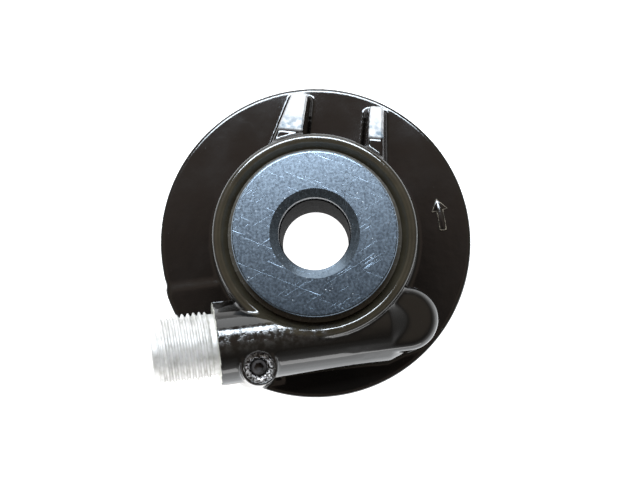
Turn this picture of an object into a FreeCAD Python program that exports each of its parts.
"""Wheel-hub speedometer drive of a small motorcycle, as a parametric FreeCAD document.

Frame: the axle bore is the Z axis, z = 0 is the back end of the centre sleeve (wheel side) and
z = overall_height is the front face of the collar (fork side). The gear tube runs along X seen
from the front, with its cable nipple towards -X, and lifts towards the nipple by tube_tilt.
All lengths are in millimetres and all angles in degrees.
"""
import FreeCAD, Part
import math
import os
import Sketcher

doc = FreeCAD.newDocument("SpeedometerDrive")
sheet = doc.addObject("Spreadsheet::Sheet", "Dims")

# ---------------------------------------------------------------- driving dimensions
DIMENSIONS = [
    # axle, sleeve and collar
    ("overall_height", 21.0, "front face of the collar above the back end of the sleeve"),
    ("axle_bore_dia", 12.2, "bore for the 12 mm wheel axle"),
    ("sleeve_wall", 1.9, "wall of the centre sleeve"),
    ("collar_bore_step", 0.2, "collar bore radius over the axle bore radius"),
    ("collar_dia", 28.8, "outer diameter of the face collar"),
    ("collar_thick", 4.4, "thickness of the face collar"),
    ("collar_chamfer", 1.5, "width of the countersink at the mouth of the collar bore"),
    ("collar_sink", 0.75, "depth of the countersink at the mouth of the collar bore"),
    ("collar_edge", 0.35, "rounding of the collar's outer edge"),
    ("spigot_wall", 2.0, "wall of the collar spigot around the sleeve"),
    ("sleeve_seat", 3.3, "depth of the sleeve's seat in the collar"),
    # housing, round part
    ("collar_gap", 0.8, "width of the groove around the collar"),
    ("rim_chamfer", 1.2, "chamfer at the mouth of the collar recess"),
    ("land_width", 2.75, "flat land of the boss outside the collar groove"),
    ("land_drop", 2.9, "depth of the land below the collar's face"),
    ("boss_edge", 0.6, "rounding of the boss rim"),
    ("boss_foot", 1.2, "fillet where the boss meets the flange"),
    ("ceiling_thick", 2.2, "wall between the collar recess and the gear chamber"),
    ("flange_width", 10.35, "flange outside the boss"),
    ("flange_top", 6.8, "height of the flange's front face"),
    ("flange_thick", 2.2, "thickness of the flange plate"),
    ("flange_edge", 0.35, "rounding of the flange's front edge"),
    ("skirt_width", 2.0, "width of the dust skirt under the flange's rim"),
    ("skirt_drop", 2.2, "depth of the dust skirt below the flange plate"),
    ("hub_back", 1.6, "height of the seal hub's back face"),
    ("hub_wall", 2.7, "wall of the seal hub around the dust seal"),
    ("pad_rise", 0.12, "step up of the thick flange sector beside the tube"),
    ("pad_overhang", 0.45, "extra radius of the thick flange sector"),
    ("pad_line", 5.1, "distance of the sector's step line from the bore axis"),
    # gears
    ("pinion_teeth", 8, "teeth of the pinion"),
    ("normal_module", 0.8, "module in the normal section"),
    ("pressure_angle", 20.0, "pressure angle in the normal section"),
    ("ring_helix", 48.0, "helix angle of the ring gear, left hand"),
    ("gear_face", 6.4, "face width of the ring gear"),
    ("backlash", 0.16, "play between the flanks of the gear pair"),
    ("chamber_clearance", 0.65, "gap between the ring gear's teeth and its chamber"),
    ("bush_wall", 1.5, "wall of the bronze gear bush"),
    ("running_clearance", 0.03, "radial clearance of every running fit"),
    ("seat_clearance", 0.01, "radial clearance of every fixed seat"),
    ("end_float", 0.1, "axial play of every turning piece"),
    ("washer_thick", 0.5, "thickness of the thrust washers"),
    # drive plate, rivets, clip and seal on the wheel side
    ("plate_thick", 1.2, "thickness of the drive plate"),
    ("dog_thick", 1.1, "thickness of the drive dogs"),
    ("dog_angle", 38.0, "arc taken by each drive dog"),
    ("dog_end", 0.8, "height of the drive dogs' free ends"),
    ("dog_clearance", 0.5, "gap between the drive plate and the pinion"),
    ("rivet_dia", 1.6, "shank diameter of the plate rivets"),
    ("rivet_head", 2.2, "head diameter of the plate rivets"),
    ("rivet_head_thick", 0.45, "head thickness of the plate rivets"),
    ("rivet_depth", 2.4, "depth of the rivets in the ring gear"),
    ("rivet_wall", 0.2, "least wall of the ring gear inside and outside the rivets"),
    ("clip_thick", 1.0, "thickness of the sleeve circlip"),
    ("clip_depth", 0.6, "depth of the circlip groove"),
    ("clip_height", 1.1, "height of the circlip over its groove floor"),
    ("clip_gap", 42.0, "opening angle of the circlip"),
    ("seal_depth", 3.0, "depth of the dust seal's bore"),
    ("seal_section", 1.9, "radial width of the dust seal"),
    ("seal_lip", 0.6, "thickness of the dust seal's lip"),
    ("garter_dia", 0.6, "wire diameter of the seal's garter spring"),
    # gear tube
    ("tube_tilt", 7.3, "lift of the tube towards the nipple"),
    ("tube_mouth", 19.9, "tube mouth from the foot of the centre line"),
    ("tube_mouth_dia", 14.9, "outer diameter at the mouth"),
    ("tube_end_dia", 14.0, "outer diameter where the thumb begins"),
    ("thumb_start", 10.4, "where the tube starts to narrow, from the bore axis"),
    ("thumb_reach", 13.85, "centre of the rounded end, from the bore axis"),
    ("thumb_dia", 11.4, "diameter of the rounded end in plan"),
    ("thumb_shift", 0.2, "rounded end's shift towards the bore"),
    ("thumb_edge", 2.0, "rounding of the thumb's top edge"),
    ("thumb_top", 5.7, "top of the thumb above the tube's axis"),
    ("thumb_depth", 6.0, "underside of the thumb below the tube's axis"),
    ("fall_reach", 16.0, "where the leaning side of the tube ends, from the bore axis"),
    ("fall_dia", 10.0, "tube diameter at the end of the leaning side"),
    ("nipple_bore_dia", 10.8, "housing bore that holds the nipple"),
    ("end_bush_dia", 6.4, "outer diameter of the pinion end bush"),
    ("end_bush_reach", 17.0, "far end of the bush bore from the foot of the centre line"),
    ("end_bush_length", 4.4, "length of the pinion end bush"),
    # pinion
    ("journal_dia", 3.8, "end journal of the pinion"),
    ("shank_dia", 5.2, "hollow shank of the pinion"),
    ("shank_end", 14.4, "end of the shank from the foot of the centre line"),
    ("socket_side", 2.7, "square socket for the inner cable"),
    ("socket_depth", 7.0, "depth of the square socket"),
    # nipple
    ("thread_dia", 12.0, "major diameter of the cable thread"),
    ("thread_pitch", 1.0, "pitch of the cable thread"),
    ("thread_length", 9.6, "length of the cable thread"),
    ("nipple_reach", 31.4, "end of the nipple from the foot of the centre line"),
    ("nipple_lead", 1.2, "plain lead at the nipple's end"),
    ("nipple_chamfer", 0.7, "chamfer at the nipple's end"),
    ("ferrule_dia", 8.0, "bore for the cable's ferrule"),
    ("ferrule_seat", 15.2, "seat of the ferrule from the foot of the centre line"),
    ("ring_section", 1.3, "cord diameter of the nipple's O-ring"),
    ("ring_station", 9.6, "place of the O-ring along the tube"),
    # lock screw and its boss
    ("lock_station", 13.3, "place of the lock screw along the tube"),
    ("lock_offset", 5.05, "distance of the lock screw from the tube's axis"),
    ("lock_boss_dia", 6.4, "top diameter of the lock screw's boss"),
    ("lock_boss_foot", 7.6, "foot diameter of the lock screw's boss"),
    ("lock_boss_top", 6.7, "top of the boss above the tube's axis"),
    ("lock_boss_sink", 6.2, "foot of the boss below the tube's axis"),
    ("lock_recess_dia", 5.2, "diameter of the recess around the screw"),
    ("lock_recess_floor", 5.35, "floor of the recess above the tube's axis"),
    ("screw_dia", 3.0, "diameter of the lock screw"),
    ("screw_top", 5.75, "top of the lock screw above the tube's axis"),
    ("screw_tip", -3.4, "tip of the lock screw, below the tube's axis"),
    ("socket_flats", 1.5, "hexagon socket across flats"),
    ("hex_depth", 1.6, "depth of the hexagon socket"),
    # anti-rotation lugs
    ("slot_azimuth", 77.0, "direction of the slot between the lugs"),
    ("slot_shift", 1.8, "slot centre line from the bore axis"),
    ("slot_width", 9.8, "slot width at the flange"),
    ("lug_root", 11.5, "start of the lugs along the slot"),
    ("lug_draft", 4.5, "draft of the lugs' sides"),
    ("lug_top", 17.0, "height of the lugs at the boss"),
    ("lug_slope", 20.0, "fall of the lugs' tops"),
    ("lug_corner", 0.5, "rounding of the lugs' tips"),
    ("wide_lug_root", 8.2, "root width of the wide lug"),
    ("wide_lug_tip", 4.0, "tip width of the wide lug"),
    ("wide_lug_reach", 26.2, "tip of the wide lug along the slot"),
    ("slim_lug_root", 5.2, "root width of the slim lug"),
    ("slim_lug_tip", 3.8, "tip width of the slim lug"),
    ("slim_lug_reach", 25.0, "tip of the slim lug along the slot"),
]
for row, (alias, value, meaning) in enumerate(DIMENSIONS, start=1):
    sheet.set("A%d" % row, alias)
    sheet.set("B%d" % row, str(value))
    sheet.set("C%d" % row, meaning)
    sheet.setAlias("B%d" % row, alias)
doc.recompute()


def bind(text):
    """Put the sheet's name in front of every alias of an expression."""
    for name in sorted((entry[0] for entry in DIMENSIONS), key=len, reverse=True):
        text = text.replace("<%s>" % name, "Dims." + name)
    return text


def value(text):
    """Return the present number of an expression, in millimetres or degrees."""
    result = sheet.evalExpression(bind(text))
    return float(getattr(result, "Value", result))


# ---------------------------------------------------------------- derived expressions
AXLE_R = "(<axle_bore_dia> / 2)"
SLEEVE_R = "(%s + <sleeve_wall>)" % AXLE_R
COLLAR_R = "(<collar_dia> / 2)"
SPIGOT_R = "(%s + <spigot_wall>)" % SLEEVE_R
RECESS_R = "(%s + <collar_gap>)" % COLLAR_R
BOSS_R = "(%s + <land_width>)" % RECESS_R
FLANGE_R = "(%s + <flange_width>)" % BOSS_R
COLLAR_BACK = "(<overall_height> - <collar_thick>)"
LAND = "(<overall_height> - <land_drop>)"
CEILING = "(%s - <ceiling_thick>)" % COLLAR_BACK
FLANGE_UNDER = "(<flange_top> - <flange_thick>)"
SKIRT_END = "(%s - <skirt_drop>)" % FLANGE_UNDER
SEAL_TOP = "(<hub_back> + <seal_depth>)"

BUSH_R = "(%s + <bush_wall>)" % SLEEVE_R
RIVET_CIRCLE = "(%s + <rivet_wall> + <rivet_dia> / 2)" % BUSH_R
# The ring gear has the fewest teeth whose root circle leaves a wall outside the rivets.
RING_ROOT_LEAST = "(%s + <rivet_dia> / 2 + <rivet_wall>)" % RIVET_CIRCLE
RING_TEETH = ("ceil((%s + 1.25 * <normal_module>) * 2 * cos(<ring_helix>) / <normal_module>)"
              % RING_ROOT_LEAST)

PINION_HELIX = "(90 - <tube_tilt> - <ring_helix>)"
RING_PITCH_R = "(<normal_module> * %s / 2 / cos(<ring_helix>))" % RING_TEETH
PINION_PITCH_R = "(<normal_module> * <pinion_teeth> / 2 / cos(%s))" % PINION_HELIX
RING_TIP_R = "(%s + <normal_module>)" % RING_PITCH_R
PINION_TIP_R = "(%s + <normal_module>)" % PINION_PITCH_R
CENTRES = "(%s + %s)" % (RING_PITCH_R, PINION_PITCH_R)
CHAMBER_R = "(%s + <chamber_clearance>)" % RING_TIP_R
PINION_BORE_R = "(%s + 4 * <end_float>)" % PINION_TIP_R
SEAL_R = "(%s + <seal_section>)" % CHAMBER_R

FRONT_WASHER = "(%s - <end_float> / 2 - <washer_thick>)" % CEILING
GEAR_TOP = "(%s - <end_float>)" % FRONT_WASHER
GEAR_BACK = "(%s - <gear_face>)" % GEAR_TOP
MESH = "(%s + <gear_face> / 2)" % GEAR_BACK
PLATE_BACK = "(%s - <plate_thick>)" % GEAR_BACK
REAR_WASHER = "(%s - <end_float> - <washer_thick>)" % PLATE_BACK
CLIP_BACK = "(%s - <clip_thick>)" % REAR_WASHER
# The drive plate stops short of the pinion's lower side at the height of the plate's front.
PINION_CHORD = "sqrt(%s ^ 2 - (<gear_face> / 2) ^ 2)" % PINION_TIP_R
PLATE_R = "(%s - %s - <dog_clearance>)" % (CENTRES, PINION_CHORD)

NIPPLE_BORE_R = "(<nipple_bore_dia> / 2)"
THREAD_ROOT_R = "(<thread_dia> / 2 - 0.6134 * <thread_pitch>)"
# The pinion's teeth end where the ring gear's tip circle has left the pinion's bore.
PINION_HALF = "sqrt(%s ^ 2 - (%s - %s) ^ 2)" % (RING_TIP_R, CENTRES, PINION_BORE_R)
STEP_IN = "(%s + 3 * <end_float> + <washer_thick>)" % PINION_HALF


def shifted(frame, x="0", y="0", z="0"):
    """Placement moved along the axes of a local frame."""
    return "%s * placement(vector(%s; %s; %s); rotation(vector(0; 0; 1); 0))" % (frame, x, y, z)


# Local +Z runs from the foot of the centre line to the nipple, local +X is the tube's upper side.
TUBE = ("placement(vector(0; -%s; %s); rotation(vector(0; 1; 0); <tube_tilt> - 90))"
        % (CENTRES, MESH))
# Local +Z is the lock screw's axis, square to the tube, with z = 0 level with the tube's axis.
LOCK = ("%s * placement(vector(0; -<lock_offset>; <lock_station>);"
        " rotation(vector(0; 1; 0); 90))" % TUBE)
# Direction of the first of the three plate rivets, midway between the two drive dogs.
FIRST_RIVET = 90
# Local +X runs out along the slot between the lugs, local +Y towards the wide lug.
SLOT = "placement(vector(0; 0; 0); rotation(vector(0; 0; 1); <slot_azimuth>))"
WORLD = "placement(vector(0; 0; 0); rotation(vector(0; 0; 1); 0))"

nodes = []
OVERCUT = 1.0  # a cutting tool passes the face that it opens by this much
ROOT_SINK = 0.5  # a journal starts this deep inside the toothed part


# ---------------------------------------------------------------- helpers
def keep(item, label):
    """Name a finished piece and put it on the list of nodes."""
    item.Label = label
    nodes.append(item)
    return item


def place(item, placement):
    """Bind an object's Placement to the sheet."""
    item.setExpression("Placement", bind(placement))


def origin_feature(body, role):
    """Return a plane or an axis of a body's own origin."""
    return next(item for item in body.Origin.OriginFeatures if item.Role == role)


def outline_sketch(body, name, plane, points, base="0"):
    """Draw a closed outline of straight lines with every corner bound to the sheet."""
    sketch = body.newObject("Sketcher::SketchObject", name)
    sketch.AttachmentSupport = [(origin_feature(body, plane), "")]
    sketch.MapMode = "FlatFace"
    if base != "0":
        sketch.setExpression("AttachmentOffset.Base.z", bind(base))
    corners = [FreeCAD.Vector(value(x), value(y), 0) for x, y in points]
    count = len(points)
    for index in range(count):
        line = Part.LineSegment(corners[index], corners[(index + 1) % count])
        sketch.addGeometry(line, False)
    for index in range(count):
        sketch.addConstraint(Sketcher.Constraint("Coincident", index, 2, (index + 1) % count, 1))
    for index, (x, y) in enumerate(points):
        for kind, axis, text in (("DistanceX", -2, x), ("DistanceY", -1, y)):
            if text == "0":
                sketch.addConstraint(Sketcher.Constraint("PointOnObject", index, 1, axis))
                continue
            rule = sketch.addConstraint(Sketcher.Constraint(kind, -1, 1, index, 1, value(text)))
            sketch.setExpression("Constraints[%d]" % rule, bind(text))
    return sketch


def circle_sketch(body, name, plane, circles, base="0"):
    """Draw circles given as (x, y, radius) with centre and radius bound to the sheet."""
    sketch = body.newObject("Sketcher::SketchObject", name)
    sketch.AttachmentSupport = [(origin_feature(body, plane), "")]
    sketch.MapMode = "FlatFace"
    if base != "0":
        sketch.setExpression("AttachmentOffset.Base.z", bind(base))
    for index, (x, y, radius) in enumerate(circles):
        centre = FreeCAD.Vector(value(x), value(y), 0)
        sketch.addGeometry(Part.Circle(centre, FreeCAD.Vector(0, 0, 1), value(radius)), False)
        rule = sketch.addConstraint(Sketcher.Constraint("Radius", index, value(radius)))
        sketch.setExpression("Constraints[%d]" % rule, bind(radius))
        for kind, axis, text in (("DistanceX", -2, x), ("DistanceY", -1, y)):
            if text == "0":
                sketch.addConstraint(Sketcher.Constraint("PointOnObject", index, 3, axis))
                continue
            rule = sketch.addConstraint(Sketcher.Constraint(kind, -1, 1, index, 3, value(text)))
            sketch.setExpression("Constraints[%d]" % rule, bind(text))
    return sketch


def turned(name, profile, placement=None, angle="360"):
    """Make a body by turning an (radius, height) outline about its Z axis."""
    body = doc.addObject("PartDesign::Body", name)
    sketch = outline_sketch(body, name + "_section", "XZ_Plane", profile)
    turn = body.newObject("PartDesign::Revolution", name + "_turn")
    turn.Profile = sketch
    turn.ReferenceAxis = (sketch, ["V_Axis"])
    turn.setExpression("Angle", bind(angle))
    turn.Midplane = angle != "360"
    if placement:
        place(body, placement)
    return body


def pad(body, sketch, length, name, taper="0"):
    """Pad a sketch upwards, with an optional draft."""
    feature = body.newObject("PartDesign::Pad", name)
    feature.Profile = sketch
    feature.setExpression("Length", bind(length))
    if taper != "0":
        feature.setExpression("TaperAngle", bind(taper))
    return feature


def round_edges(body, name, radius, test, kind="PartDesign::Fillet"):
    """Fillet or chamfer every edge of a body's tip that passes the test."""
    doc.recompute()
    tip = body.Tip
    picked = ["Edge%d" % number for number, edge in enumerate(tip.Shape.Edges, 1) if test(edge)]
    if not picked:
        raise RuntimeError("no edge to round for " + name)
    feature = body.newObject(kind, name)
    feature.Base = (tip, picked)
    feature.setExpression("Radius" if kind.endswith("Fillet") else "Size", bind(radius))
    return feature


def ring_edge(radius, height):
    """Return a test for the circular edge of this radius at this height of a turned body."""
    wanted_radius, wanted_height = value(radius), value(height)

    def test(edge):
        curve = edge.Curve
        if not isinstance(curve, Part.Circle):
            return False
        level = edge.Vertexes[0].Point.z
        return abs(curve.Radius - wanted_radius) < 1e-4 and abs(level - wanted_height) < 1e-4

    return test


def boolean(kind, name, base, tools):
    """Join, cut or intersect: base with the fusion of all tools."""
    tool = tools[0]
    if len(tools) > 1:
        tool = doc.addObject("Part::MultiFuse", name + "_tools")
        tool.Shapes = tools
    result = doc.addObject("Part::" + kind, name)
    result.Base = base
    result.Tool = tool
    return result


def ring_section(inner, outer, bottom, top):
    """Return the rectangle section of a plain ring."""
    return [(inner, bottom), (outer, bottom), (outer, top), (inner, top)]


# ---------------------------------------------------------------- housing: round die-cast body
def housing_core():
    """Flange with dust skirt, seal hub and boss as one turned solid."""
    core = turned("HousingCore", [
        ("0", "<hub_back>"),
        ("%s + <hub_wall>" % SEAL_R, "<hub_back>"),
        ("%s + <hub_wall>" % SEAL_R, FLANGE_UNDER),
        ("%s - <skirt_width>" % FLANGE_R, FLANGE_UNDER),
        ("%s - <skirt_width>" % FLANGE_R, SKIRT_END),
        (FLANGE_R, SKIRT_END),
        (FLANGE_R, "<flange_top>"),
        (BOSS_R, "<flange_top>"),
        (BOSS_R, LAND),
        ("0", LAND),
    ])
    round_edges(core, "FlangeEdge", "<flange_edge>", ring_edge(FLANGE_R, "<flange_top>"))
    round_edges(core, "BossRim", "<boss_edge>", ring_edge(BOSS_R, LAND))
    round_edges(core, "BossFoot", "<boss_foot>", ring_edge(BOSS_R, "<flange_top>"))
    round_edges(core, "SkirtEnd", "<flange_edge>", ring_edge(FLANGE_R, SKIRT_END))
    return core


def flange_sector():
    """Thicker sector of the flange between the step line and the tube."""
    disc = doc.addObject("Part::Cylinder", "SectorDisc")
    disc.setExpression("Radius", bind("%s + <pad_overhang>" % FLANGE_R))
    disc.setExpression("Height", bind("<flange_thick> + <pad_rise>"))
    place(disc, shifted(WORLD, z=FLANGE_UNDER))
    window = doc.addObject("Part::Box", "SectorWindow")
    window.setExpression("Length", bind("%s + <pad_overhang> - %s / 2" % (FLANGE_R, BOSS_R)))
    window.setExpression("Width", bind("%s + <lock_offset> + <screw_dia> - <pad_line>" % CENTRES))
    window.setExpression("Height", bind("<overall_height>"))
    place(window, shifted(WORLD, x="-%s - <pad_overhang>" % FLANGE_R,
                          y="-%s - <lock_offset> - <screw_dia>" % CENTRES))
    return boolean("Common", "FlangeSector", disc, [window])


def gear_tube():
    """Tapered tube around the pinion; its blind end falls towards the thumb."""
    tube = doc.addObject("Part::Cone", "GearTube")
    tube.setExpression("Radius1", bind("<tube_end_dia> / 2"))
    tube.setExpression("Radius2", bind("<tube_mouth_dia> / 2"))
    tube.setExpression("Height", bind("<thumb_start> + <tube_mouth>"))
    place(tube, shifted(TUBE, z="-<thumb_start>"))
    fall = doc.addObject("Part::Cone", "TubeFall")
    fall.setExpression("Radius1", bind("<fall_dia> / 2"))
    fall.setExpression("Radius2", bind("<tube_end_dia> / 2"))
    fall.setExpression("Height", bind("<fall_reach> - <thumb_start>"))
    place(fall, shifted(TUBE, z="-<fall_reach>"))
    return [tube, fall]


def thumb():
    """Blind end of the tube, a thumb in plan with a well rounded top edge."""
    body = doc.addObject("PartDesign::Body", "Thumb")
    sketch = thumb_outline(body)
    sketch.setExpression("AttachmentOffset.Base.z", bind("-<thumb_depth>"))
    pad(body, sketch, "<thumb_depth> + <thumb_top>", "ThumbPad")
    top = value("<thumb_top>")

    def top_edge(edge):
        box = edge.BoundBox
        return box.ZMin > top - 0.01 and box.XMax > 0.01

    round_edges(body, "ThumbEdge", "<thumb_edge>", top_edge)
    place(body, "%s * placement(vector(0; 0; 0); rotation(vector(0; 1; 0); 90))" % TUBE)
    return body


def thumb_outline(body):
    """Plan of the thumb: two long sides joined by the half circle of the rounded end."""
    reach, radius = value("<thumb_reach>"), value("<thumb_dia> / 2")
    shift = value("<thumb_shift>")
    sketch = body.newObject("Sketcher::SketchObject", "ThumbOutline")
    sketch.AttachmentSupport = [(origin_feature(body, "XY_Plane"), "")]
    sketch.MapMode = "FlatFace"
    circle = Part.Circle(FreeCAD.Vector(reach, shift, 0), FreeCAD.Vector(0, 0, 1), radius)
    corners = [FreeCAD.Vector(x, shift + side * radius, 0)
               for x, side in ((0, -1), (reach, -1), (reach, 1), (0, 1))]
    sketch.addGeometry(Part.LineSegment(corners[0], corners[1]), False)
    sketch.addGeometry(Part.ArcOfCircle(circle, -math.pi / 2, math.pi / 2), False)
    sketch.addGeometry(Part.LineSegment(corners[2], corners[3]), False)
    sketch.addGeometry(Part.LineSegment(corners[3], corners[0]), False)
    for rule in (("Tangent", 0, 2, 1, 1), ("Tangent", 1, 2, 2, 1), ("Coincident", 2, 2, 3, 1),
                 ("Coincident", 3, 2, 0, 1), ("Horizontal", 0), ("PointOnObject", 2, 2, -2),
                 ("PointOnObject", 0, 1, -2)):
        sketch.addConstraint(Sketcher.Constraint(*rule))
    sizes = (
        (("DistanceX", -1, 1, 1, 3), "<thumb_reach>"),
        (("DistanceY", -1, 1, 1, 3), "<thumb_shift>"),
        (("Radius", 1), "<thumb_dia> / 2"),
    )
    for rule, text in sizes:
        index = sketch.addConstraint(Sketcher.Constraint(*rule, value(text)))
        sketch.setExpression("Constraints[%d]" % index, bind(text))
    return sketch


def lug(name, side, root, tip, reach):
    """Drafted anti-rotation lug: its slot face lies on one side of the slot."""
    body = doc.addObject("PartDesign::Body", name)
    face = "(<slot_shift> - %s<slot_width> / 2)" % side
    outline = outline_sketch(body, name + "Outline", "XY_Plane", [
        ("<lug_root>", "-%s" % face),
        (reach, "-%s" % face),
        (reach, "-%s %s %s" % (face, side, tip)),
        ("<lug_root>", "-%s %s %s" % (face, side, root)),
    ], base=FLANGE_UNDER + " + <flange_thick> / 2")
    pad(body, outline, "<lug_top> - %s" % FLANGE_UNDER, name + "Pad", taper="-<lug_draft>")
    side_view = outline_sketch(body, name + "Top", "XZ_Plane", [
        ("0", "<lug_top>"),
        (BOSS_R, "<lug_top>"),
        (FLANGE_R, "<lug_top> - (%s - %s) * tan(<lug_slope>)" % (FLANGE_R, BOSS_R)),
        (FLANGE_R, "2 * <overall_height>"),
        ("0", "2 * <overall_height>"),
    ])
    slope = body.newObject("PartDesign::Pocket", name + "Slope")
    slope.Profile = side_view
    slope.Type = "ThroughAll"
    slope.Midplane = True
    corner = value("%s - %s" % (reach, tip))

    def tip_corner(edge):
        box = edge.BoundBox
        return box.XMin > corner and box.ZLength > 1

    round_edges(body, name + "Corner", "<lug_corner>", tip_corner)
    place(body, SLOT)
    return body


def lock_boss():
    """Drafted boss that carries the lock screw beside the tube."""
    boss = doc.addObject("Part::Cone", "LockBoss")
    boss.setExpression("Radius1", bind("<lock_boss_foot> / 2"))
    boss.setExpression("Radius2", bind("<lock_boss_dia> / 2"))
    boss.setExpression("Height", bind("<lock_boss_sink> + <lock_boss_top>"))
    place(boss, shifted(LOCK, z="-<lock_boss_sink>"))
    return boss


def housing_cavities():
    """Everything that is machined or cored out of the housing."""
    round_core = turned("HousingCavity", [
        ("0", "0"),
        (SEAL_R, "0"),
        (SEAL_R, SEAL_TOP),
        (CHAMBER_R, SEAL_TOP),
        (CHAMBER_R, CEILING),
        (SPIGOT_R, CEILING),
        (SPIGOT_R, COLLAR_BACK),
        (RECESS_R, COLLAR_BACK),
        (RECESS_R, "%s - <rim_chamfer>" % LAND),
        ("%s + <rim_chamfer>" % RECESS_R, LAND),
        ("%s + <rim_chamfer>" % RECESS_R, "2 * <overall_height>"),
        ("0", "2 * <overall_height>"),
    ])
    tube_core = turned("TubeCavity", [
        ("0", "-<end_bush_reach>"),
        ("<end_bush_dia> / 2", "-<end_bush_reach>"),
        ("<end_bush_dia> / 2", "-" + STEP_IN),
        (PINION_BORE_R, "-" + STEP_IN),
        (PINION_BORE_R, STEP_IN),
        (NIPPLE_BORE_R, STEP_IN),
        (NIPPLE_BORE_R, "<tube_mouth> + <end_float>"),
        ("0", "<tube_mouth> + <end_float>"),
    ], TUBE)
    lock_core = turned("LockCavity", [
        ("0", "<screw_tip> - <end_float>"),
        ("<screw_dia> / 2 + <seat_clearance>", "<screw_tip> - <end_float>"),
        ("<screw_dia> / 2 + <seat_clearance>", "<lock_recess_floor>"),
        ("<lock_recess_dia> / 2", "<lock_recess_floor>"),
        ("<lock_recess_dia> / 2", "<overall_height>"),
        ("0", "<overall_height>"),
    ], LOCK)
    return [round_core, tube_core, lock_core]


def housing():
    """Die-cast housing: the joined outer shapes less the cavities."""
    outer = boolean("Fuse", "HousingOuter", housing_core(), [
        flange_sector(), thumb(), lock_boss(), *gear_tube(),
        lug("WideLug", "+", "<wide_lug_root>", "<wide_lug_tip>", "<wide_lug_reach>"),
        lug("SlimLug", "-", "<slim_lug_root>", "<slim_lug_tip>", "<slim_lug_reach>"),
    ])
    keep(boolean("Cut", "Housing", outer, housing_cavities()), "housing")


# ---------------------------------------------------------------- sleeve, collar and their rings
def centre_pieces():
    """Centre sleeve with its circlip groove, face collar, seals and thrust washers."""
    groove_r = "(%s - <clip_depth>)" % SLEEVE_R
    seat_top = "(%s - <spigot_wall> + <sleeve_seat>)" % COLLAR_BACK
    sleeve_top = "(%s - <end_float> / 2)" % seat_top
    sleeve = turned("CentreSleeve", [
        (AXLE_R, "0"),
        ("%s - <sleeve_wall> / 4" % SLEEVE_R, "0"),
        (SLEEVE_R, "<sleeve_wall> / 4"),
        (SLEEVE_R, CLIP_BACK + " - <end_float> / 2"),
        (groove_r, CLIP_BACK + " - <end_float> / 2"),
        (groove_r, REAR_WASHER),
        (SLEEVE_R, REAR_WASHER),
        (SLEEVE_R, sleeve_top),
        (AXLE_R, sleeve_top),
    ])
    keep(sleeve, "centre_sleeve")

    mouth_r = "(%s + <collar_bore_step>)" % AXLE_R
    spigot = "(%s - <seat_clearance>)" % SPIGOT_R
    o_ring_seat = "(%s - <ceiling_thick> / 2)" % COLLAR_BACK
    collar = turned("FaceCollar", [
        (SLEEVE_R + " + <seat_clearance>", "%s - <spigot_wall>" % COLLAR_BACK),
        (spigot, "%s - <spigot_wall>" % COLLAR_BACK),
        (spigot, o_ring_seat + " - <ceiling_thick> / 4"),
        (spigot + " - <spigot_wall> / 2", o_ring_seat + " - <ceiling_thick> / 4"),
        (spigot + " - <spigot_wall> / 2", o_ring_seat + " + <ceiling_thick> / 4"),
        (spigot, o_ring_seat + " + <ceiling_thick> / 4"),
        (spigot, COLLAR_BACK),
        (COLLAR_R, COLLAR_BACK),
        (COLLAR_R, "<overall_height>"),
        (mouth_r + " + <collar_chamfer>", "<overall_height>"),
        (mouth_r, "<overall_height> - <collar_sink>"),
        (mouth_r, seat_top),
        (SLEEVE_R + " + <seat_clearance>", seat_top),
    ])
    round_edges(collar, "CollarEdge", "<collar_edge>", ring_edge(COLLAR_R, "<overall_height>"))
    keep(collar, "face_collar")

    o_ring = doc.addObject("Part::Torus", "CollarORing")
    o_ring.setExpression("Radius1", bind(spigot + " - <spigot_wall> / 4"))
    o_ring.setExpression("Radius2", bind("<spigot_wall> / 4 - <seat_clearance>"))
    place(o_ring, shifted(WORLD, z=o_ring_seat))
    keep(o_ring, "collar_o_ring")

    keep(turned("CollarSealRing", ring_section(
        COLLAR_R + " + <seat_clearance>", RECESS_R + " - <seat_clearance>",
        COLLAR_BACK, "%s - <land_drop> / 4" % LAND)), "collar_seal_ring")
    keep(turned("FrontThrustWasher", ring_section(
        SLEEVE_R + " + <seat_clearance>", RING_PITCH_R,
        FRONT_WASHER, FRONT_WASHER + " + <washer_thick>")), "front_thrust_washer")
    keep(turned("RearThrustWasher", ring_section(
        SLEEVE_R + " + <seat_clearance>", "%s - <rivet_head> / 2 - <end_float>" % RIVET_CIRCLE,
        REAR_WASHER, REAR_WASHER + " + <washer_thick>")), "rear_thrust_washer")
    keep(turned("SleeveCirclip", ring_section(
        groove_r + " + <seat_clearance>", groove_r + " + <clip_height>",
        CLIP_BACK, REAR_WASHER), angle="360 - <clip_gap>"), "sleeve_circlip")


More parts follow.
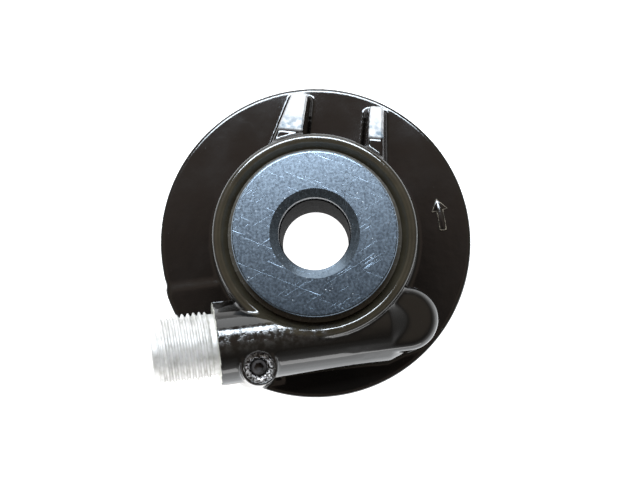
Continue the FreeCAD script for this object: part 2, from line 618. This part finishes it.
def seals():
    """Dust seal of the wheel side, its steel case and its garter spring."""
    lip_r = "(%s + <end_float>)" % CHAMBER_R
    garter_r = "(%s + <seal_lip> + <garter_dia> / 2)" % lip_r
    case_r = "(%s - <seat_clearance>)" % SEAL_R
    face = "(<hub_back> + <seal_lip> / 2)"
    garter_z = "(%s + <garter_dia>)" % face
    case = turned("SealCase", [
        (case_r + " - <seal_lip> / 2", face),
        (case_r, face),
        (case_r, SEAL_TOP),
        (lip_r + " + <seal_lip>", SEAL_TOP),
        (lip_r + " + <seal_lip>", SEAL_TOP + " - <seal_lip> / 2"),
        (case_r + " - <seal_lip> / 2", SEAL_TOP + " - <seal_lip> / 2"),
    ])
    keep(case, "seal_case")
    seal = turned("DustSeal", [
        (lip_r + " - <end_float>", face),
        (lip_r + " + <seal_lip>", face),
        (lip_r + " + <seal_lip>", SEAL_TOP + " - <seal_lip>"),
        (case_r + " - <seal_lip> / 2", SEAL_TOP + " - <seal_lip>"),
        (case_r + " - <seal_lip> / 2", SEAL_TOP + " - <seal_lip> / 2"),
        (lip_r, SEAL_TOP + " - <seal_lip> / 2"),
        (lip_r, face + " + <seal_lip>"),
    ])
    keep(seal, "dust_seal")
    garter = doc.addObject("Part::Torus", "SealGarterSpring")
    garter.setExpression("Radius1", bind(garter_r))
    garter.setExpression("Radius2", bind("<garter_dia> / 2"))
    place(garter, shifted(WORLD, z=garter_z))
    keep(garter, "seal_garter_spring")


# ---------------------------------------------------------------- involute gears
def involute_point(base_radius, radius, turn, side):
    """Point of an involute at a radius; turn is its angle at the base circle."""
    roll = math.sqrt(max((radius / base_radius) ** 2 - 1, 0))
    angle = turn + side * (roll - math.atan(roll))
    return FreeCAD.Vector(radius * math.cos(angle), radius * math.sin(angle), 0)


def gear_outline(teeth, helix, play, centre_angle):
    """Closed transverse outline of an involute gear with one tooth centred on an angle."""
    module = value("<normal_module>")
    cosine = math.cos(math.radians(helix))
    pitch_r = module * teeth / 2 / cosine
    tip_r = pitch_r + module
    root_r = pitch_r - 1.25 * module
    normal = math.radians(value("<pressure_angle>"))
    transverse = math.atan(math.tan(normal) / cosine)
    base_r = pitch_r * math.cos(transverse)
    half_tooth = math.pi / 2 / teeth - play / 2 / cosine / pitch_r
    half_base = half_tooth + math.tan(transverse) - transverse
    start_r = max(base_r, root_r)
    radii = [start_r + (tip_r - start_r) * (step / 5) ** 1.5 for step in range(6)]
    edges = []
    for tooth in range(teeth):
        middle = centre_angle + 2 * math.pi * tooth / teeth
        rising = [involute_point(base_r, radius, middle - half_base, 1) for radius in radii]
        falling = [involute_point(base_r, radius, middle + half_base, -1)
                   for radius in reversed(radii)]
        following = middle + 2 * math.pi / teeth - half_base
        root_in = falling[-1] * (root_r / start_r)
        root_out = involute_point(base_r, start_r, following, 1) * (root_r / start_r)
        tip_angle = FreeCAD.Vector(math.cos(middle), math.sin(middle), 0)
        root_angle = middle + math.pi / teeth
        root_middle = FreeCAD.Vector(math.cos(root_angle), math.sin(root_angle), 0)
        flank = Part.BSplineCurve()
        flank.interpolate(rising)
        edges.append(flank.toShape())
        edges.append(Part.Arc(rising[-1], tip_angle * tip_r, falling[0]).toShape())
        flank = Part.BSplineCurve()
        flank.interpolate(falling)
        edges.append(flank.toShape())
        if start_r > root_r + 1e-6:
            edges.append(Part.makeLine(falling[-1], root_in))
        edges.append(Part.Arc(root_in, root_middle * root_r, root_out).toShape())
        if start_r > root_r + 1e-6:
            start = involute_point(base_r, start_r, following, 1)
            edges.append(Part.makeLine(root_out, start))
    return Part.Wire(edges)


def helical_gear(teeth, helix, width, play, centre_angle):
    """Left-hand helical gear about Z, with its middle section at z = 0."""
    pitch_r = value("<normal_module>") * teeth / 2 / math.cos(math.radians(helix))
    lead = 2 * math.pi * pitch_r / math.tan(math.radians(helix))
    bottom_turn = math.pi * width / lead
    outline = gear_outline(teeth, helix, play, centre_angle + bottom_turn)
    spine = Part.Wire(Part.makeLine(FreeCAD.Vector(0, 0, 0), FreeCAD.Vector(0, 0, width)))
    guide = Part.Wire(Part.makeHelix(lead, width, pitch_r, 0, True))
    sweep = Part.BRepOffsetAPI.MakePipeShell(spine)
    sweep.setAuxiliarySpine(guide, True, 0)
    sweep.add(outline)
    sweep.build()
    sweep.makeSolid()
    gear = sweep.shape()
    gear.translate(FreeCAD.Vector(0, 0, -width / 2))
    return gear


def drive_train():
    """Ring gear on its bronze bush, drive plate with two dogs, and three rivets."""
    face = value("<gear_face>")
    teeth = int(value(RING_TEETH))
    # A tooth space of the ring gear faces the pinion in the middle section.
    gear = helical_gear(teeth, value("<ring_helix>"), face, value("<backlash>") / 2,
                        -math.pi / 2 + math.pi / teeth)
    bore = value(BUSH_R + " + <seat_clearance>")
    start = FreeCAD.Vector(0, 0, -face / 2 - OVERCUT)
    gear = gear.cut(Part.makeCylinder(bore, face + 2 * OVERCUT, start))
    hole_r = value("<rivet_dia> / 2 + <seat_clearance>")
    circle = value(RIVET_CIRCLE)
    depth = value("<rivet_depth> + <end_float>")
    for number in range(3):
        angle = math.radians(FIRST_RIVET + 120 * number)
        corner = FreeCAD.Vector(circle * math.cos(angle), circle * math.sin(angle), -face / 2)
        gear = gear.cut(Part.makeCylinder(hole_r, depth, corner))
    ring = doc.addObject("Part::Feature", "RingGear")
    ring.Shape = gear
    place(ring, shifted(WORLD, z=MESH))
    keep(ring, "ring_gear")

    keep(turned("GearBush", ring_section(
        SLEEVE_R + " + <running_clearance>", BUSH_R,
        PLATE_BACK + " + <end_float> / 2", GEAR_TOP)), "gear_bush")

    plate = turned("DrivePlate", ring_section(
        BUSH_R + " + <seat_clearance>", PLATE_R, PLATE_BACK, GEAR_BACK))
    dog = outline_sketch(plate, "DogSection", "XZ_Plane", ring_section(
        PLATE_R + " - <dog_thick>", PLATE_R, "<dog_end>", PLATE_BACK + " + <plate_thick> / 2"))
    turn = plate.newObject("PartDesign::Revolution", "DogTurn")
    turn.Profile = dog
    turn.ReferenceAxis = (dog, ["V_Axis"])
    turn.setExpression("Angle", bind("<dog_angle>"))
    turn.Midplane = True
    doc.recompute()
    pair = plate.newObject("PartDesign::PolarPattern", "DogPair")
    pair.Originals = [turn]
    pair.Axis = (dog, ["V_Axis"])
    pair.Angle = 360
    pair.Occurrences = 2
    plate.Tip = pair
    holes = circle_sketch(plate, "RivetHoles", "XY_Plane",
                          [("0", RIVET_CIRCLE, "<rivet_dia> / 2 + <seat_clearance>")])
    pocket = plate.newObject("PartDesign::Pocket", "RivetHole")
    pocket.Profile = holes
    pocket.Type = "ThroughAll"
    pocket.Midplane = True
    doc.recompute()
    ring_of_holes = plate.newObject("PartDesign::PolarPattern", "RivetHolePattern")
    ring_of_holes.Originals = [pocket]
    ring_of_holes.Axis = (holes, ["N_Axis"])
    ring_of_holes.Angle = 360
    ring_of_holes.Occurrences = 3
    plate.Tip = ring_of_holes
    keep(plate, "drive_plate")

    for number in range(3):
        spin = ("placement(vector(0; 0; 0); rotation(vector(0; 0; 1); %d))"
                % (FIRST_RIVET + 120 * number))
        rivet = turned("DriveRivet%d" % (number + 1), [
            ("0", "%s - <rivet_head_thick>" % PLATE_BACK),
            ("<rivet_head> / 2", "%s - <rivet_head_thick>" % PLATE_BACK),
            ("<rivet_head> / 2", PLATE_BACK),
            ("<rivet_dia> / 2", PLATE_BACK),
            ("<rivet_dia> / 2", GEAR_BACK + " + <rivet_depth>"),
            ("0", GEAR_BACK + " + <rivet_depth>"),
        ], shifted(spin, x=RIVET_CIRCLE))
        keep(rivet, "drive_rivet_%d" % (number + 1))


def pinion_train():
    """Pinion with its hollow shank, end bush and the two thrust washers."""
    half = value(PINION_HALF)
    teeth = int(value("<pinion_teeth>"))
    # A pinion tooth points at the ring gear, which is the local +Y side.
    pinion = helical_gear(teeth, value(PINION_HELIX), 2 * half, value("<backlash>") / 2,
                          math.pi / 2)
    journal_end = value("-<end_bush_reach> + 4 * <end_float>")
    journal = Part.makeCylinder(value("<journal_dia> / 2"), ROOT_SINK - half - journal_end,
                                FreeCAD.Vector(0, 0, journal_end))
    shank_end = value("<shank_end>")
    shank = Part.makeCylinder(value("<shank_dia> / 2"), shank_end - half + ROOT_SINK,
                              FreeCAD.Vector(0, 0, half - ROOT_SINK))
    side = value("<socket_side>")
    depth = value("<socket_depth>")
    socket = Part.makeBox(side, side, depth,
                          FreeCAD.Vector(-side / 2, -side / 2, shank_end - depth))
    item = doc.addObject("Part::Feature", "Pinion")
    item.Shape = pinion.fuse([journal, shank]).cut(socket)
    place(item, TUBE)
    keep(item, "pinion")

    bush_end = "(-<end_bush_reach> + 2 * <end_float>)"
    keep(turned("PinionEndBush", ring_section(
        "<journal_dia> / 2 + <running_clearance>", "<end_bush_dia> / 2 - <seat_clearance>",
        bush_end, bush_end + " + <end_bush_length>"), TUBE), "pinion_end_bush")
    washer_r = "(%s - <end_float>)" % PINION_BORE_R
    keep(turned("PinionInnerWasher", ring_section(
        "<journal_dia> / 2 + <end_float>", washer_r,
        "-%s + <end_float>" % STEP_IN, "-%s + <end_float> + <washer_thick>" % STEP_IN),
        TUBE), "pinion_inner_washer")
    keep(turned("PinionOuterWasher", ring_section(
        "<shank_dia> / 2 + <end_float>", washer_r,
        "%s - <end_float> - <washer_thick>" % STEP_IN, "%s - <end_float>" % STEP_IN),
        TUBE), "pinion_outer_washer")


# ---------------------------------------------------------------- cable nipple and lock screw
def cable_nipple():
    """Aluminium nipple with its O-ring, held by the lock screw in a cross notch.

    The thread is a plain cylinder at its major diameter, with a relief at the tube's mouth.
    """
    shank_r = "(%s - <seat_clearance>)" % NIPPLE_BORE_R
    bore_r = "(<shank_dia> / 2 + <running_clearance>)"
    groove_r = "(%s - <ring_section>)" % shank_r
    crest_r = "(<thread_dia> / 2)"
    rim_r = "(%s + <thread_pitch> / 5)" % THREAD_ROOT_R
    lead_end = "(<nipple_reach> - <nipple_lead>)"
    thread_start = "(%s - <thread_length>)" % lead_end
    core = turned("NippleCore", [
        (bore_r, STEP_IN),
        (shank_r, STEP_IN),
        (shank_r, "<ring_station> - 0.7 * <ring_section>"),
        (groove_r, "<ring_station> - 0.7 * <ring_section>"),
        (groove_r, "<ring_station> + 0.7 * <ring_section>"),
        (shank_r, "<ring_station> + 0.7 * <ring_section>"),
        (shank_r, "<tube_mouth>"),
        (THREAD_ROOT_R, "<tube_mouth>"),
        (THREAD_ROOT_R, thread_start),
        (crest_r, "%s + <thread_pitch> / 2" % thread_start),
        (crest_r, "%s - <thread_pitch> / 2" % lead_end),
        (rim_r, lead_end),
        (rim_r, "<nipple_reach> - <nipple_chamfer>"),
        (rim_r + " - <nipple_chamfer>", "<nipple_reach>"),
        ("(<ferrule_dia> + <nipple_chamfer>) / 2", "<nipple_reach>"),
        ("<ferrule_dia> / 2", "<nipple_reach> - <nipple_chamfer> / 2"),
        ("<ferrule_dia> / 2", "<ferrule_seat>"),
        (bore_r, "<ferrule_seat> - <ferrule_dia> / 2 + %s" % bore_r),
    ], TUBE)
    notch = doc.addObject("Part::Cylinder", "LockNotch")
    notch.setExpression("Radius", bind("<screw_dia> / 2 + <seat_clearance>"))
    notch.setExpression("Height", bind("2 * <nipple_bore_dia>"))
    place(notch, shifted(LOCK, z="-<nipple_bore_dia>"))
    keep(boolean("Cut", "CableNipple", core, [notch]), "cable_nipple")

    ring = doc.addObject("Part::Torus", "NippleORing")
    ring.setExpression("Radius1", bind("%s - <ring_section> / 2" % shank_r))
    ring.setExpression("Radius2", bind("<ring_section> / 2 - <seat_clearance>"))
    place(ring, shifted(TUBE, z="<ring_station>"))
    keep(ring, "nipple_o_ring")


def lock_screw():
    """Socket set screw whose side holds the nipple's notch."""
    screw = turned("LockScrew", [
        ("0", "<screw_tip>"),
        ("<screw_dia> / 4", "<screw_tip>"),
        ("<screw_dia> / 2", "<screw_tip> + <screw_dia> / 4"),
        ("<screw_dia> / 2", "<screw_top> - <screw_dia> / 12"),
        ("<screw_dia> * 5 / 12", "<screw_top>"),
        ("0", "<screw_top>"),
    ], LOCK)
    across = "<socket_flats> / 2"
    corner = "<socket_flats> / 2 * tan(30)"
    point = "<socket_flats> / sqrt(3)"
    hexagon = outline_sketch(screw, "HexSocket", "XY_Plane", [
        (corner, across), ("-" + corner, across), ("-" + point, "0"),
        ("-" + corner, "-" + across), (corner, "-" + across), (point, "0"),
    ], base="<screw_top> - <hex_depth>")
    pocket = screw.newObject("PartDesign::Pocket", "HexPocket")
    pocket.Profile = hexagon
    pocket.setExpression("Length", bind("2 * <hex_depth>"))
    pocket.Reversed = True
    keep(screw, "lock_screw")


# ---------------------------------------------------------------- build, check and write
housing()
centre_pieces()
seals()
drive_train()
pinion_train()
cable_nipple()
lock_screw()
doc.recompute()

for item in doc.Objects:
    if "Invalid" in item.State or "Error" in item.State:
        raise RuntimeError("failed: " + item.Label)
for item in nodes:
    if item.Shape.isNull() or not item.Shape.isValid():
        raise RuntimeError("bad shape: " + item.Label)

os.makedirs("parts", exist_ok=True)
for item in nodes:
    item.Shape.exportStep("parts/%s.step" % item.Label)
    print("%-22s %10.2f mm3  %d solid(s)" % (item.Label, item.Shape.Volume,
                                             len(item.Shape.Solids)))
